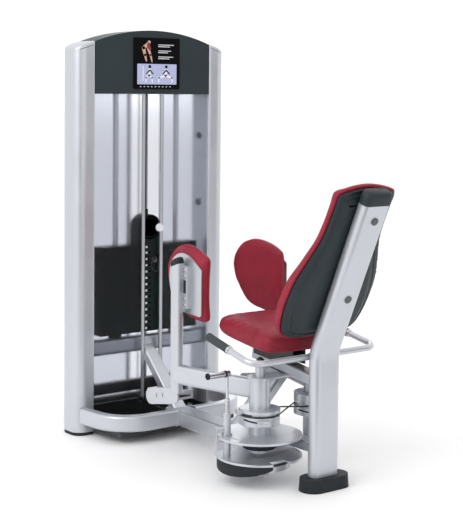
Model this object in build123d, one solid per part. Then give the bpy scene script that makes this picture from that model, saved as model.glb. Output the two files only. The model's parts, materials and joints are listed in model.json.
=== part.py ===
from build123d import *
import math
import os

# Seated hip abductor machine. Millimetres, +Z up, +X to the user's right, and the user faces +Y,
# towards the weight-stack tower. While the parts are drawn, Y = 0 is the middle of the rear foot;
# every part is moved by MIDDLE_Y when it is written, so the origin is the middle of the footprint.

# --- Driving dimensions ----------------------------------------------------------------------
MIDDLE_Y = 504.22
TOWER_FRONT = 1180
TOWER_BACK = 1323
TOWER_HEIGHT = 1800
COLUMN_INNER = 310
FOOT_HEIGHT = 14
COLUMN_OUTER = 404
COLUMN_CORNER = 50
CAP_HEIGHT = 13
SHOULDER = 1745
SHOULDER_SLOPE = 0.36
COVER_THICKNESS = 12
PANEL_BOTTOM = 1514
TUBE_WALL = 3

STACK_Y = 1245
PLATE_WIDTH = 530
PLATE_DEPTH = 76
PLATE_PITCH = 29
PLATE_GAP = 0.6
RESTING_PLATES = 11
LIFTED_PLATES = 2
STACK_BOTTOM = 428
GUIDE_X = 165
GUIDE_RADIUS = 12.5

CABLE_RADIUS = 3
PULLEY_RADIUS = 30
PULLEY_Y = STACK_Y + PULLEY_RADIUS
TOP_PULLEY_Z = 1565
BASE_MEMBER_Z = 182
CABLE_Z = 88
CAM_RADIUS = 120
IDLER_RADIUS = 30

BEAM_BOTTOM = 55
BEAM_TOP = 122
BEAM_HALF = 50
BEAM_BACK = 440
BEAM_FRONT = 1000

UPRIGHT_WIDTH = 130
UPRIGHT_DEPTH = 60
UPRIGHT_BEND_Z = 535
UPRIGHT_LEAN = 24
UPRIGHT_TOP = 662
UPRIGHT_CAP_HEIGHT = 44

STRUT_POINT = (0, 390, 273)
STRUT_ANGLE = 49
SEAT_BEAM_SLOPE = 8
SEAT_TILT = 5
SEAT_BACK = 98
SEAT_LENGTH = 430
BACK_FACE = 30.3
PLUG_HEIGHTS = (252, 589)

PIVOT_X = 140
PIVOT_Y = 220
SHAFT_RADIUS = 12.5
BORE_RADIUS = 12.55
HUB_RADIUS = 41
DRUM_RADIUS = 80
DRUM_GROOVE = 74
DRUM_CABLE_Z = 270
DISC_RADIUS = 170
DISC_BOTTOM = 178
DISC_THICKNESS = 9
PLUNGER_REACH = 132
PLUNGER_ANGLE = 156

POST_X = 250
POST_Y = 635
ARM_BOTTOM = 322
ARM_TOP = 402
PAD_REACH = 80
PAD_THICKNESS = 42
PAD_TOE_IN = 4.2
BACKING_THICKNESS = 5
PAD_OUTLINE = (-142, 588, 856, ((-70, 884), (20, 899), (100, 876), (166, 775), (103, 648), (-10, 594)))
PLATE_OUTLINE = (-133, 611, 806, ((-83, 835), (17, 862), (100, 820), (100, 680), (60, 635), (-8, 618)))
FOOT_PLATE = (734.5, 252)
FOOT_PLATE_DROP = 11

PIN_Z = STACK_BOTTOM + PLATE_PITCH * RESTING_PLATES + (PLATE_PITCH - PLATE_GAP) / 2
STACK_TOP = STACK_BOTTOM + PLATE_PITCH * (RESTING_PLATES + LIFTED_PLATES)
HEAD_TOP = STACK_TOP + 22
HOUSING_FRONT = 1209
HOUSING_DEPTH = 74
HOUSING_Z = 905
HOUSING_RADIUS = 60
KNOB_X = 35
KNOB_FRONT = 1172
KNOB_BACK = 1188
CLEVIS_TOP = HOUSING_Z + 82

os.makedirs("parts", exist_ok=True)


# --- Helpers ---------------------------------------------------------------------------------
def save(name, *shapes):
    """Write one sub-part, moved to the middle of the footprint."""
    solids = [solid for shape in shapes for solid in shape.solids()]
    moved = [Pos(0, -MIDDLE_Y, 0) * solid for solid in solids]
    whole = moved[0] if len(moved) == 1 else Compound(children=moved)
    export_step(whole, f"parts/{name}.step")


def block(x0, x1, y0, y1, z0, z1):
    """Box between the given limits."""
    centre = Pos((x0 + x1) / 2, (y0 + y1) / 2, (z0 + z1) / 2)
    return centre * Box(x1 - x0, y1 - y0, z1 - z0)


def upright_block(x0, x1, y0, y1, z0, z1, corner):
    """Box with rounded vertical edges."""
    outline = Pos((x0 + x1) / 2, (y0 + y1) / 2, z0) * RectangleRounded(x1 - x0, y1 - y0, corner)
    return extrude(outline, z1 - z0)


def rod(start, end, radius):
    """Round bar from start to end."""
    start, end = Vector(*start), Vector(*end)
    plane = Plane(origin=start, z_dir=end - start)
    return extrude(plane * Circle(radius), (end - start).length)


def bar(start, end, width, height, corner):
    """Rounded bar from start to end; the width lies level, across the bar."""
    start, end = Vector(*start), Vector(*end)
    along = (end - start).normalized()
    level = along.cross(Vector(0, 0, 1))
    plane = Plane(origin=start, x_dir=level, z_dir=along)
    return extrude(plane * RectangleRounded(width, height, corner), (end - start).length)


def tube(start, end, width, height, corner, wall=TUBE_WALL):
    """Hollow rounded tube from start to end, open at both ends."""
    inner = bar(start, end, width - 2 * wall, height - 2 * wall, corner - wall)
    return bar(start, end, width, height, corner) - inner


def mirrored(shape):
    """The same piece on the other side of the machine."""
    return mirror(shape, about=Plane.YZ)


def ring(radius, bore, z0, z1, x=0, y=0):
    """Upright round disc or sleeve with a bore."""
    outline = Pos(x, y, z0) * (Circle(radius) - Circle(bore))
    return extrude(outline, z1 - z0)


def turned(profile, x, y):
    """Solid of revolution about an upright axis, from (radius, height) points."""
    face = Plane.XZ * make_face(Polyline(*profile, close=True))
    return Pos(x, y, 0) * revolve(face, axis=Axis.Z)


def cable(edges):
    """Round cable that follows a chain of tangent edges."""
    spans = [sweep(Plane(origin=edge @ 0, z_dir=edge % 0) * Circle(CABLE_RADIUS), path=edge)
             for edge in edges]
    whole = spans[0]
    for span in spans[1:]:
        whole = whole + span
    return whole


# --- Tower -----------------------------------------------------------------------------------
def column_outline(z, trim=0):
    """Left column's section: square towards the stack, well rounded on the outside."""
    width = COLUMN_OUTER - COLUMN_INNER - 2 * trim
    depth = TOWER_BACK - TOWER_FRONT - 2 * trim
    middle = (-(COLUMN_OUTER + COLUMN_INNER) / 2, (TOWER_FRONT + TOWER_BACK) / 2)
    outline = Pos(middle[0], middle[1], z) * Rectangle(width, depth)
    corners = outline.vertices().sort_by(Axis.X)
    outline = fillet(corners[:2], COLUMN_CORNER - trim)
    inner = outline.vertices().sort_by(Axis.X)[-2:]
    return fillet(inner, 10 - trim)


def shoulder_plane(drop):
    """Slope that carries the arch on across the left column, 'drop' below its top."""
    return Plane(origin=(-COLUMN_INNER, 0, SHOULDER - drop), x_dir=(0, 1, 0), z_dir=(-SHOULDER_SLOPE, 0, 1))


def column():
    """Hollow left column, cut off on the slope under its cap."""
    height = SHOULDER - FOOT_HEIGHT
    solid = extrude(column_outline(FOOT_HEIGHT), height)
    walls = solid - extrude(column_outline(FOOT_HEIGHT, TUBE_WALL), height)
    return split(walls, bisect_by=shoulder_plane(CAP_HEIGHT), keep=Keep.BOTTOM)


def column_cap():
    """Sloping end cap of even thickness, which goes on from the arched cover."""
    block_above = extrude(column_outline(SHOULDER - 80), 100)
    above_column = split(block_above, bisect_by=shoulder_plane(CAP_HEIGHT), keep=Keep.TOP)
    return split(above_column, bisect_by=shoulder_plane(0), keep=Keep.BOTTOM)


def arch(y0, y1, side, drop, low=None):
    """Arched piece whose top lies 'drop' below the tower's: a band, or solid down to 'low'."""
    rise = TOWER_HEIGHT - SHOULDER
    top = ThreePointArc((-side, SHOULDER - drop), (0, TOWER_HEIGHT - drop), (side, SHOULDER - drop))
    if low is None:
        base = SHOULDER - drop - COVER_THICKNESS
        under = ThreePointArc((side, base), (0, base + rise), (-side, base))
    else:
        under = Line((side, low), (-side, low))
    sides = [Line(top @ 1, under @ 0), Line(under @ 1, top @ 0)]
    face = make_face([top, sides[0], under, sides[1]])
    return extrude(Plane.XZ.offset(-y1) * face, y1 - y0)


def shield(front):
    """Thin clear panel beside the slot, with a turned edge along the slot."""
    y0 = TOWER_FRONT + 12 if front else TOWER_BACK - 12
    flange = (y0, y0 + 12) if front else (y0 - 8, y0 + 4)
    panel = block(-COLUMN_INNER + 1, -42, y0, y0 + 4, 130, PANEL_BOTTOM - 1)
    return panel + block(-45, -42, flange[0], flange[1], 130, PANEL_BOTTOM - 1)


def tower():
    left = column()
    cap = column_cap()
    foot = extrude(column_outline(0, 2), FOOT_HEIGHT)
    save("left_column", left)
    save("right_column", mirrored(left))
    save("column_caps", cap, mirrored(cap))
    save("column_feet", foot, mirrored(foot))
    save("top_cover", arch(TOWER_FRONT + 18.3, TOWER_BACK, COLUMN_INNER - 0.5, 0))
    panel_side = COLUMN_INNER - 0.5
    panel_drop = COVER_THICKNESS + 0.5
    save("front_panel", arch(TOWER_FRONT + 4, TOWER_FRONT + 18, panel_side, 0, PANEL_BOTTOM))
    save("rear_panel", arch(TOWER_BACK - 10, TOWER_BACK - 2, panel_side, panel_drop, PANEL_BOTTOM))
    placard = Plane.XZ.offset(-TOWER_FRONT + 0.5) * Pos(14, 1652) * RectangleRounded(250, 230, 6)
    save("placard", extrude(placard, -4.5))
    sheets = [shield(True), shield(False)]
    save("stack_shields", *sheets, *[mirrored(sheet) for sheet in sheets])

    tube_end = COLUMN_INNER - 0.5
    save("lower_cross_tube", tube((-tube_end, STACK_Y, 372), (tube_end, STACK_Y, 372), 60, 72, 20))
    top_member = tube((-tube_end, 1255, 1640), (tube_end, 1255, 1640), 80, 40, 8)
    base_member = tube((-tube_end, STACK_Y, BASE_MEMBER_Z), (tube_end, STACK_Y, BASE_MEMBER_Z), 40, 50, 8)
    save("tower_cross_tubes", top_member, base_member)
    rods = [rod((x, STACK_Y, 408), (x, STACK_Y, 1620), GUIDE_RADIUS) for x in (-GUIDE_X, GUIDE_X)]
    save("guide_rods", *rods)
    bumpers = [ring(30, GUIDE_RADIUS + 0.3, 408, STACK_BOTTOM, x, STACK_Y) for x in (-GUIDE_X, GUIDE_X)]
    save("stack_bumpers", *bumpers)

    pan_side = COLUMN_INNER - 0.2
    tray = upright_block(-pan_side, pan_side, 960, 1320, 30, 52, 12)
    hollow = upright_block(-pan_side + 5, pan_side - 5, 965, 1315, 36, 60, 10)
    kick_plate = block(-pan_side + 14, pan_side - 14, 1311.5, 1314.8, 36.2, 129)
    save("base_pan", tray - hollow, kick_plate)
    plugs = [rod((side * (COLUMN_INNER - 0.1), 1262, z), (side * (COLUMN_INNER - 4), 1262, z), 15)
             for side in (-1, 1) for z in (1005, 1320)]
    return plugs


# --- Weight stack ----------------------------------------------------------------------------
def weight_plate(index):
    """One plate of the stack, counted from the bottom, with its rod, stem and pin holes."""
    z0 = STACK_BOTTOM + PLATE_PITCH * index
    z1 = z0 + PLATE_PITCH - PLATE_GAP
    half, depth = PLATE_WIDTH / 2, PLATE_DEPTH / 2
    plate = upright_block(-half, half, STACK_Y - depth, STACK_Y + depth, z0, z1, 8)
    for x in (-GUIDE_X, GUIDE_X):
        plate = plate - rod((x, STACK_Y, z0), (x, STACK_Y, z1), GUIDE_RADIUS + 1)
    plate = plate - rod((0, STACK_Y, z0), (0, STACK_Y, z1), 15)
    middle = (z0 + z1) / 2
    return plate - rod((0, STACK_Y - depth, middle), (0, STACK_Y, middle), 5.6)


def weight_stack():
    save("resting_weights", *[weight_plate(index) for index in range(RESTING_PLATES)])
    lifted = range(RESTING_PLATES, RESTING_PLATES + LIFTED_PLATES)
    save("lifted_weights", *[weight_plate(index) for index in lifted])
    half, depth = PLATE_WIDTH / 2, PLATE_DEPTH / 2
    head = upright_block(-half, half, STACK_Y - depth, STACK_Y + depth, STACK_TOP, HEAD_TOP, 8)
    for x in (-GUIDE_X, GUIDE_X):
        head = head - rod((x, STACK_Y, STACK_TOP), (x, STACK_Y, HEAD_TOP), GUIDE_RADIUS + 1)
    head = head - rod((0, STACK_Y, STACK_TOP), (0, STACK_Y, HEAD_TOP), SHAFT_RADIUS)
    save("head_plate", head)
    stem = rod((0, STACK_Y, STACK_BOTTOM + 8), (0, STACK_Y, HEAD_TOP), SHAFT_RADIUS)
    save("selector_stem", stem - rod((0, STACK_Y - 20, PIN_Z), (0, STACK_Y + 20, PIN_Z), 5.3))

    lower_half = Pos(0, (HEAD_TOP + HOUSING_Z) / 2) * Rectangle(2 * HOUSING_RADIUS, HOUSING_Z - HEAD_TOP)
    face = Pos(0, HOUSING_Z) * Circle(HOUSING_RADIUS) + lower_half
    housing = extrude(Plane.XZ.offset(-HOUSING_FRONT - HOUSING_DEPTH) * face, HOUSING_DEPTH)
    clevis = ring(11, CABLE_RADIUS, HOUSING_Z + 54, CLEVIS_TOP, 0, STACK_Y)
    save("addon_weight", housing + clevis)
    knob = rod((KNOB_X, KNOB_BACK, HOUSING_Z), (KNOB_X, KNOB_FRONT, HOUSING_Z), 19)
    knob_stem = rod((KNOB_X, HOUSING_FRONT - 0.3, HOUSING_Z), (KNOB_X, KNOB_BACK, HOUSING_Z), 5)
    save("addon_knob", knob + knob_stem)

    pin_tip = STACK_Y + 8
    pin_knob = TOWER_FRONT - 12
    pin = rod((0, pin_tip, PIN_Z), (0, pin_knob + 24, PIN_Z), 5)
    save("selector_pin", pin + rod((0, pin_knob + 24, PIN_Z), (0, pin_knob, PIN_Z), 14))
    run = rod((0, STACK_Y, CLEVIS_TOP), (0, STACK_Y, TOP_PULLEY_Z), CABLE_RADIUS)
    save("stack_cable", run)


# --- Pulleys and the drive cable -------------------------------------------------------------
def pulley(x, y, z, radius, along, bore=6.06):
    """Grooved wheel whose cable runs at the given radius."""
    groove = radius - CABLE_RADIUS - 0.3
    rim = radius + 5
    profile = [
        (bore, -8), (rim, -8), (rim, -6), (groove, -3.4), (groove, 3.4), (rim, 6), (rim, 8), (bore, 8)]
    wheel = turned(profile, 0, 0)
    turn = Rot(0, 90, 0) if along == "x" else Rot(0, 0, 0)
    return Pos(x, y, z) * turn * wheel


def pulleys():
    bottom_z = CABLE_Z + PULLEY_RADIUS
    save("top_pulley", pulley(0, PULLEY_Y, TOP_PULLEY_Z, PULLEY_RADIUS, "x"))
    save("bottom_pulley", pulley(0, PULLEY_Y, bottom_z, PULLEY_RADIUS, "x"))
    idler_y = PIVOT_Y + CAM_RADIUS + IDLER_RADIUS
    save("idler_pulley", pulley(-IDLER_RADIUS, idler_y, CABLE_Z, IDLER_RADIUS, "z"))

    cheeks = []
    for side in (-1, 1):
        inner, outer = side * 10, side * 14
        low, high = min(inner, outer), max(inner, outer)
        cheeks.append(block(low, high, PULLEY_Y - 22, PULLEY_Y + 20, TOP_PULLEY_Z - 16, 1620))
        cheeks.append(block(low, high, STACK_Y - 5, PULLEY_Y + 20, bottom_z - 16, BASE_MEMBER_Z - 25))
    axles = [rod((-18, PULLEY_Y, z), (18, PULLEY_Y, z), 6) for z in (TOP_PULLEY_Z, bottom_z)]
    drilled = []
    for cheek in cheeks:
        for axle in axles:
            cheek = cheek - axle
        drilled.append(cheek)
    idler_axle = rod((-IDLER_RADIUS, idler_y, CABLE_Z - 14), (-IDLER_RADIUS, idler_y, 130), 6)
    save("pulley_mounts", *drilled, *axles, idler_axle)

    cam_front = PIVOT_Y + CAM_RADIUS
    back_run = PULLEY_Y + PULLEY_RADIUS
    level = Plane.XY.offset(CABLE_Z)
    side_on = Plane(origin=(0, 0, 0), x_dir=(0, 1, 0), z_dir=(1, 0, 0))
    wrap = level * CenterArc((-PIVOT_X, PIVOT_Y), CAM_RADIUS, 300, -210)
    to_idler = Line((-PIVOT_X, cam_front, CABLE_Z), (-IDLER_RADIUS, cam_front, CABLE_Z))
    at_idler = level * CenterArc((-IDLER_RADIUS, idler_y), IDLER_RADIUS, 270, 90)
    through_beam = Line((0, idler_y, CABLE_Z), (0, PULLEY_Y, CABLE_Z))
    at_bottom = side_on * CenterArc((PULLEY_Y, bottom_z), PULLEY_RADIUS, 270, 90)
    rising = Line((0, back_run, bottom_z), (0, back_run, TOP_PULLEY_Z))
    at_top = side_on * CenterArc((PULLEY_Y, TOP_PULLEY_Z), PULLEY_RADIUS, 0, 180)
    save("drive_cable", cable([wrap, to_idler, at_idler, through_beam, at_bottom, rising, at_top]))


# --- Base and seat frame ---------------------------------------------------------------------
def upright_path():
    lean = math.radians(UPRIGHT_LEAN)
    top = (0, -UPRIGHT_TOP * math.sin(lean), UPRIGHT_BEND_Z + UPRIGHT_TOP * math.cos(lean))
    return FilletPolyline((0, 0, 8), (0, 0, UPRIGHT_BEND_Z), top, radius=200)


def swept(path, sketch, across):
    start = Plane(origin=path @ 0, x_dir=across, z_dir=path % 0)
    return sweep(start * sketch, path=path)


def strut_line(distance):
    """Point on the inclined strut's centre line, 'distance' up from its reference point."""
    angle = math.radians(STRUT_ANGLE)
    x, y, z = STRUT_POINT
    return (x, y - distance * math.cos(angle), z + distance * math.sin(angle))


def seat_beam_line(y, drop=0):
    """Point on the seat beam's top face line, or 'drop' below it."""
    return (0, y, 448 + (y - 120) * math.tan(math.radians(SEAT_BEAM_SLOPE)) - drop)


def back_plane():
    """Plane of the backrest: X across, Y up the upright, Z forward, from the upright's bend."""
    lean = math.radians(UPRIGHT_LEAN)
    forward = (0, math.cos(lean), math.sin(lean))
    return Plane(origin=(0, 0, UPRIGHT_BEND_Z), x_dir=(-1, 0, 0), z_dir=forward)


def base_frame():
    path = upright_path()
    solid_upright = swept(path, RectangleRounded(UPRIGHT_WIDTH, UPRIGHT_DEPTH, 27), (1, 0, 0))
    inside = RectangleRounded(UPRIGHT_WIDTH - 2 * TUBE_WALL, UPRIGHT_DEPTH - 2 * TUBE_WALL, 24)
    save("rear_upright", solid_upright - swept(path, inside, (1, 0, 0)))
    boot = extrude(Pos(0, -8, 0) * SlotOverall(222, 112), 50, taper=4)
    save("upright_boot", boot - solid_upright)
    end = Plane(origin=path @ 1, x_dir=(1, 0, 0), z_dir=path % 1)
    cap = extrude(end * RectangleRounded(UPRIGHT_WIDTH + 4, UPRIGHT_DEPTH, 29), UPRIGHT_CAP_HEIGHT)
    save("upright_cap", cap)

    plane = back_plane()
    rear = -UPRIGHT_DEPTH / 2
    plugs = []
    for height in PLUG_HEIGHTS:
        seat_of_plug = Plane(origin=plane.from_local_coords((0, height, rear - 0.1)), z_dir=-plane.z_dir)
        plugs.append(extrude(seat_of_plug * Circle(15), 4))

    beam_axis = (BEAM_BOTTOM + BEAM_TOP) / 2
    beam_height = BEAM_TOP - BEAM_BOTTOM
    beam = tube((0, BEAM_BACK, beam_axis), (0, BEAM_FRONT, beam_axis), 2 * BEAM_HALF, beam_height, 8, 4)
    save("main_beam", beam)
    leg = FilletPolyline((-365, TOWER_FRONT - 1, 90), (-335, 930, 90), (-BEAM_HALF - 1, 930, 90), radius=165)
    shape = RectangleRounded(50, 70, 12)
    hollow = RectangleRounded(50 - 2 * TUBE_WALL, 70 - 2 * TUBE_WALL, 9)
    left_leg = swept(leg, shape, (1, 0, 0)) - swept(leg, hollow, (1, 0, 0))
    left_leg = left_leg - extrude(column_outline(20), 200)
    save("base_tubes", left_leg, mirrored(left_leg))

    brace_end = block(-50, 50, TOWER_FRONT, 1400, 300, 500) & block(-50, 50, STACK_Y - 30, 1400, 300, 500)
    brace = tube((0, 930, 72), (0, 1262, 380), 64, 44, 10)
    brace = brace - brace_end - block(-50, 50, 800, 1200, 0, BEAM_TOP + 0.2)
    save("diagonal_brace", brace)

    strut_low, strut_high = strut_line(-260), strut_line(230)
    strut = tube(strut_low, strut_high, 60, 76, 14)
    seat_beam_bar = bar(seat_beam_line(20, 24), seat_beam_line(410, 24), 60, 48, 10)
    above_beam = bar(seat_beam_line(20, -26), seat_beam_line(410, -26), 200, 148, 1)
    strut = strut - above_beam - block(-50, 50, 300, 800, -20, BEAM_TOP + 0.2)
    save("seat_strut", strut)
    solid_strut = bar(strut_low, strut_high, 60, 76, 14)

    seat_beam = seat_beam_bar - bar(seat_beam_line(10, 24), seat_beam_line(420, 24), 54, 42, 7)
    save("seat_beam", seat_beam - solid_upright)
    lower = tube((0, 20, 150), (0, 462, 150), 60, 40, 8) - solid_upright - solid_strut

    bridge = upright_block(-190, 190, 172, 268, 406, 414, 47)
    posts = [ring(19, BORE_RADIUS, 414, 458, x, PIVOT_Y) for x in (-PIVOT_X, PIVOT_X)]
    tie = block(-165, 165, 195, 245, 458, 466)
    upper = bridge + tie
    for post in posts:
        upper = upper + post
    for x in (-PIVOT_X, PIVOT_X):
        upper = upper - rod((x, PIVOT_Y, 400), (x, PIVOT_Y, 470), BORE_RADIUS)
    save("upper_pivot_bridge", upper - solid_strut - seat_beam_bar)
    lower_bridge = upright_block(-182, 182, 178, 262, 115, 130, 41)
    for x in (-PIVOT_X, PIVOT_X):
        lower_bridge = lower_bridge - rod((x, PIVOT_Y, 110), (x, PIVOT_Y, 135), BORE_RADIUS)
    save("lower_frame_tube", lower + lower_bridge)
    return plugs


def pivot_shafts():
    left = rod((-PIVOT_X, PIVOT_Y, 18), (-PIVOT_X, PIVOT_Y, 470), SHAFT_RADIUS)
    left = left + ring(20, SHAFT_RADIUS - 1, 130.3, DISC_BOTTOM - 0.4, -PIVOT_X, PIVOT_Y)
    left = left + ring(20, SHAFT_RADIUS - 1, 12, 24, -PIVOT_X, PIVOT_Y)
    right = rod((PIVOT_X, PIVOT_Y, 96), (PIVOT_X, PIVOT_Y, 470), SHAFT_RADIUS)
    right = right + ring(20, SHAFT_RADIUS - 1, 100, 114.7, PIVOT_X, PIVOT_Y)
    save("pivot_shafts", left, right)


# --- Seat and backrest -----------------------------------------------------------------------
def back_outline(inset):
    """Backrest outline: broad at the hips, waisted above, with an arched top."""
    low, top_half, shoulder, crown = 24 + inset, 151 - inset, 664 - inset, 700 - inset
    side = Spline(
        (138, low), (222 - inset, 180), (187 - inset, 370), (157 - inset, 465), (top_half, shoulder),
        tangents=[(1, 0), (0, 1)])
    top = ThreePointArc((top_half, shoulder), (0, crown), (-top_half, shoulder))
    outline = make_face([Line((-138, low), (138, low)), side, top, mirror(side, about=Plane.YZ)])
    return fillet(outline.vertices().sort_by(Axis.Y)[-2:], 16)


def backrest_layer(low_face, high_face, inset):
    """Slice of the backrest between two sloping faces, given by their depths at the hips and the top."""
    plane = back_plane()
    whole = extrude(plane.offset(BACK_FACE) * back_outline(inset), 110)
    faces = []
    for at_hips, at_top in (low_face, high_face):
        rise = plane.from_local_coords((0, 690, at_top)) - plane.from_local_coords((0, 100, at_hips))
        origin = plane.from_local_coords((0, 690, at_top))
        faces.append(Plane(origin=origin, x_dir=(1, 0, 0), z_dir=Vector(-1, 0, 0).cross(rise)))
    above = split(whole, bisect_by=faces[0], keep=Keep.TOP)
    return split(above, bisect_by=faces[1], keep=Keep.BOTTOM)


def seat_plane(lift=0):
    tilt = math.radians(SEAT_TILT)
    normal = Vector(0, -math.sin(tilt), math.cos(tilt))
    return Plane(origin=Vector(0, SEAT_BACK, 520) + normal * lift, x_dir=(1, 0, 0), z_dir=normal)


def seat_outline(inset=0):
    """Seat seen from above: full width at the back, narrower with rounded corners in front."""
    rear, front, length = 200 - inset, 168 - inset, SEAT_LENGTH - inset
    corners = [(-rear, inset), (rear, inset), (front, length), (-front, length)]
    outline = make_face(Polyline(*corners, close=True))
    front = outline.vertices().sort_by(Axis.Y)[-2:]
    outline = fillet(front, 95)
    back = outline.vertices().sort_by(Axis.Y)[:2]
    return fillet(back, 45)


def seat():
    save("seat_cushion", extrude(seat_plane() * seat_outline(), 66))
    pan = extrude(seat_plane(-8.3) * seat_outline(45), 8)
    for side in (-1, 1):
        low, high = sorted((side * 30.4, side * 34.4))
        wall = block(low, high, 150, 395, 440, 560)
        keep = extrude(seat_plane(-80) * Pos(0, 240) * Rectangle(400, 560), 72)
        pan = pan + (wall & keep)
    tie_space = block(-170, 170, 190, 250, 455, 469)
    bridge_posts = block(-60, 60, 100, 420, 400, 455)
    save("seat_pan", pan - tie_space - bridge_posts)

    plane = back_plane()
    save("back_shell", backrest_layer((BACK_FACE, BACK_FACE), (73, 50), 8))
    save("back_pad", backrest_layer((73.3, 50.3), (130, 92), 0))

    grip_front = (-303, 340, 569)
    bend = (-320, 43, 510)
    path = FilletPolyline(grip_front, bend, (320, 43, 510), (303, 340, 569), radius=52)
    save("handlebar", swept(path, Circle(12.5) - Circle(10), (1, 0, 0)))
    direction = (Vector(*grip_front) - Vector(*bend)).normalized()
    rear = Vector(*grip_front) - direction * 140
    front = Vector(*grip_front) + direction * 4
    grip = rod(tuple(rear), tuple(front), 16) - rod(tuple(rear), tuple(grip_front), 12.5)
    save("handlebar_grips", grip, mirrored(grip))


# --- Arms ------------------------------------------------------------------------------------
def d_outline(back, low, high, front):
    """D-shaped outline, straight behind and round in front. Local X runs forward, local Y up."""
    return make_face([Line((back, low), (back, high)), Spline((back, high), *front, (back, low))])


def from_side(x):
    """Plane facing +X at the given X, with local X along Y and local Y along Z."""
    return Plane(origin=(x, 0, 0), x_dir=(0, 1, 0), z_dir=(1, 0, 0))


def pad_plane(inward):
    """Plane of the left thigh pad, turned in about its post, at a distance inside the post's axis."""
    turn = math.radians(PAD_TOE_IN)
    facing = Vector(math.cos(turn), -math.sin(turn), 0)
    forward = (math.sin(turn), math.cos(turn), 0)
    return Plane(origin=Vector(-POST_X, POST_Y, 0) + facing * inward, x_dir=forward, z_dir=facing)


def rounded_slab(plane, outline, thickness, corner):
    """Slab whose two rear corners are rounded."""
    slab = extrude(plane * outline, thickness)
    edges = slab.edges().filter_by(Axis(plane.origin, plane.z_dir))
    return fillet(edges.sort_by(Axis(plane.origin, plane.x_dir))[:2], corner)


def arm_pieces():
    """Left arm, its backing plate, its thigh pad and its footrest."""
    reach = math.atan2(POST_X - PIVOT_X, POST_Y - PIVOT_Y)
    start = (-PIVOT_X - 30 * math.sin(reach), PIVOT_Y + 30 * math.cos(reach), (ARM_BOTTOM + ARM_TOP) / 2)
    end = (-POST_X, POST_Y, (ARM_BOTTOM + ARM_TOP) / 2)
    solid_post = upright_block(-POST_X - 16, -POST_X + 16, POST_Y - 29, POST_Y + 29, 285, 850, 10)
    hollow_post = upright_block(-POST_X - 13, -POST_X + 13, POST_Y - 26, POST_Y + 26, 288, 850, 7)
    hub = rod((-PIVOT_X, PIVOT_Y, 200), (-PIVOT_X, PIVOT_Y, 420), HUB_RADIUS)
    arm = tube(start, end, 44, ARM_TOP - ARM_BOTTOM, 18) - solid_post - hub
    slope = Plane(origin=(-POST_X, POST_Y, 826), x_dir=(1, 0, 0), z_dir=(0, 0.35, 1))
    post = split(solid_post - hollow_post, bisect_by=slope, keep=Keep.BOTTOM)
    weldment = arm + post

    pad_back = PAD_REACH - PAD_THICKNESS
    plate_back = pad_back - BACKING_THICKNESS - 0.2
    plate = rounded_slab(pad_plane(plate_back), d_outline(*PLATE_OUTLINE), BACKING_THICKNESS, 16)
    pad = rounded_slab(pad_plane(pad_back), d_outline(*PAD_OUTLINE), PAD_THICKNESS, 22)
    bracket = extrude(pad_plane(12) * Pos(-11.5, 727.5) * Rectangle(97, 175), plate_back - 12) - solid_post

    along = math.radians(FOOT_PLATE_DROP)
    centre = (-POST_X - 6, FOOT_PLATE[0], FOOT_PLATE[1])
    foot_plane = Plane(origin=centre, x_dir=(0, math.cos(along), -math.sin(along)), z_dir=(1, 0, 0))
    side_plate = extrude(foot_plane * SlotOverall(237, 69), 8) - solid_post
    for shift in (-8, 38):
        slot = foot_plane * Pos(shift, 2) * SlotOverall(20, 6, rotation=90)
        side_plate = side_plate - extrude(slot, 8)
    tread = extrude(foot_plane.offset(8) * Pos(35, -21) * Rectangle(160, 10), 120)
    rim = extrude(foot_plane.offset(120) * Pos(35, -3) * Rectangle(160, 26), 8)
    return weldment, plate + bracket, pad, side_plate + tread + rim


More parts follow.
